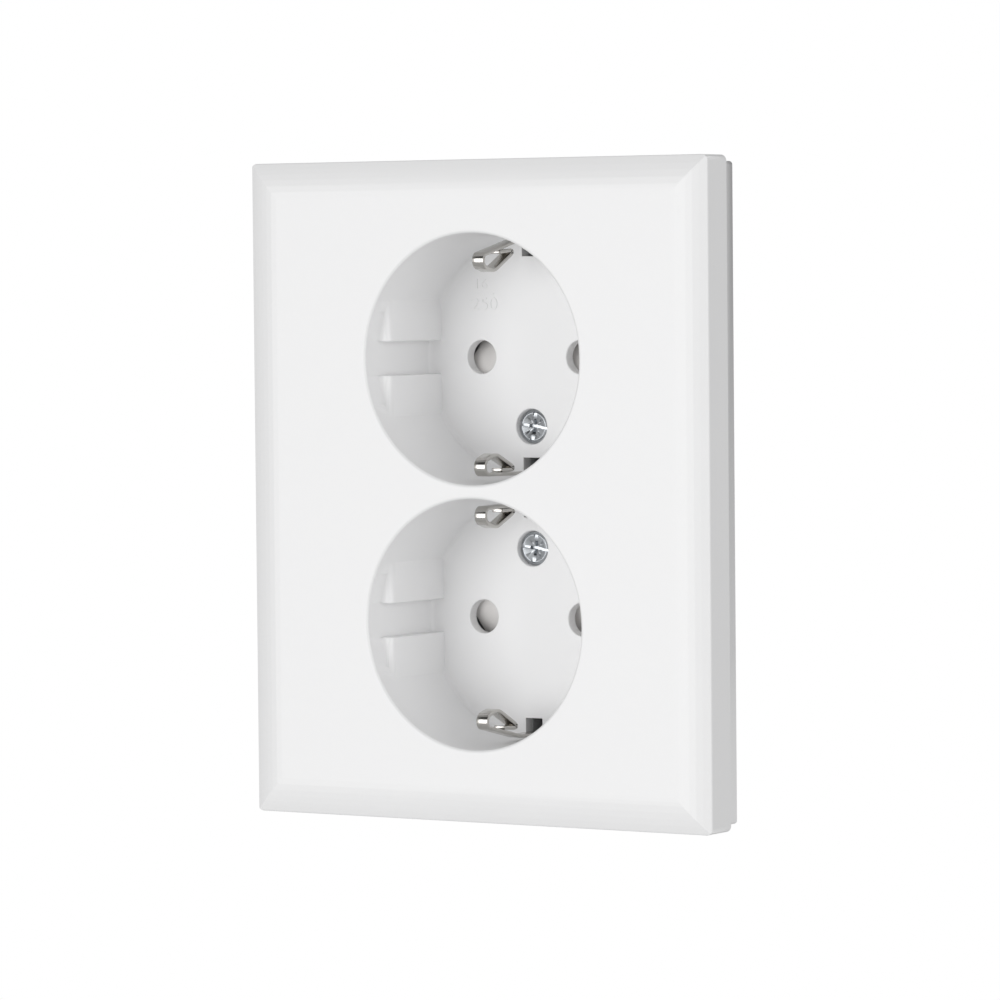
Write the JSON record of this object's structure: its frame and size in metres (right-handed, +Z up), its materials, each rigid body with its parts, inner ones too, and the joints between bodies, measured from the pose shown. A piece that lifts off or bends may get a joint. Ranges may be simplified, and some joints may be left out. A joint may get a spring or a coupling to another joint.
{
  "type": "double wall socket",
  "caption": "Upright double wall socket: domed face plate over round wells with earth clips and sprung shutters, on a push-in base for a flush box.",
  "frame": {"origin": "centre of the box screw slots, on the wall plane", "axes": "+X right as seen from the room, +Y into the wall, +Z up; the face looks along -Y"},
  "size_m": [0.0862, 0.044, 0.1064],
  "materials": {
    "cover_plastic": "white, glossy",
    "base_plastic": "light grey moulding",
    "shutter_plastic": "off-white moulding",
    "lever_plastic": "orange moulding",
    "contact_brass": "bare brass strip",
    "clip_nickel": "nickel plated strip",
    "spring_steel": "spring steel",
    "zinc_steel": "zinc plated steel"
  },
  "bodies": {
    "socket": {"cover": "cover_plastic", "support_frame": "zinc_steel", "base_housing": "base_plastic", "rear_cover": "base_plastic", "line_contact_bar": "contact_brass", "neutral_contact_bar": "contact_brass", "earth_stirrup_upper": "clip_nickel", "earth_stirrup_lower": "clip_nickel", "earth_bridge": "contact_brass", "shutter_spring_upper": "spring_steel", "shutter_spring_lower": "spring_steel", "cover_screw_upper": "zinc_steel", "cover_screw_lower": "zinc_steel", "claw_screw_left": "zinc_steel", "claw_screw_right": "zinc_steel", "frame_screw_upper_left": "zinc_steel", "frame_screw_upper_right": "zinc_steel", "frame_screw_lower_left": "zinc_steel", "frame_screw_lower_right": "zinc_steel", "clamp_spring_line_upper": "spring_steel", "clamp_spring_line_lower": "spring_steel", "clamp_spring_neutral_upper": "spring_steel", "clamp_spring_neutral_lower": "spring_steel", "clamp_spring_earth_upper": "spring_steel", "clamp_spring_earth_lower": "spring_steel"},
    "upper_shutter": {"shutter_upper": "shutter_plastic"},
    "lower_shutter": {"shutter_lower": "shutter_plastic"},
    "left_claw": {"claw_left": "zinc_steel"},
    "right_claw": {"claw_right": "zinc_steel"},
    "line_lever": {"release_lever_line": "lever_plastic"},
    "earth_lever": {"release_lever_earth": "lever_plastic"},
    "neutral_lever": {"release_lever_neutral": "lever_plastic"}
  },
  "joints": [
    {"name": "shutter_upper_slide", "type": "slide", "parent": "socket", "child": "upper_shutter", "axis": [0, 0, -1], "range_m": [0, 0.0058], "stiffness_N_per_m": 60, "springref_m": -0.003, "deforming": ["shutter_spring_upper"]},
    {"name": "shutter_lower_slide", "type": "slide", "parent": "socket", "child": "lower_shutter", "axis": [0, 0, 1], "range_m": [0, 0.0058], "stiffness_N_per_m": 60, "springref_m": -0.003, "deforming": ["shutter_spring_lower"]},
    {"name": "claw_left_slide", "type": "slide", "parent": "socket", "child": "left_claw", "axis": [-0.1736, -0.9848, 0], "range_m": [0, 0.0075]},
    {"name": "claw_right_slide", "type": "slide", "parent": "socket", "child": "right_claw", "axis": [0.1736, -0.9848, 0], "range_m": [0, 0.0075]},
    {"name": "lever_line_press", "type": "slide", "parent": "socket", "child": "line_lever", "axis": [0, -1, 0], "range_m": [0, 0.002], "stiffness_N_per_m": 500, "springref_m": -0.0005},
    {"name": "lever_earth_press", "type": "slide", "parent": "socket", "child": "earth_lever", "axis": [0, -1, 0], "range_m": [0, 0.002], "stiffness_N_per_m": 500, "springref_m": -0.0005},
    {"name": "lever_neutral_press", "type": "slide", "parent": "socket", "child": "neutral_lever", "axis": [0, -1, 0], "range_m": [0, 0.002], "stiffness_N_per_m": 500, "springref_m": -0.0005}
  ]
}
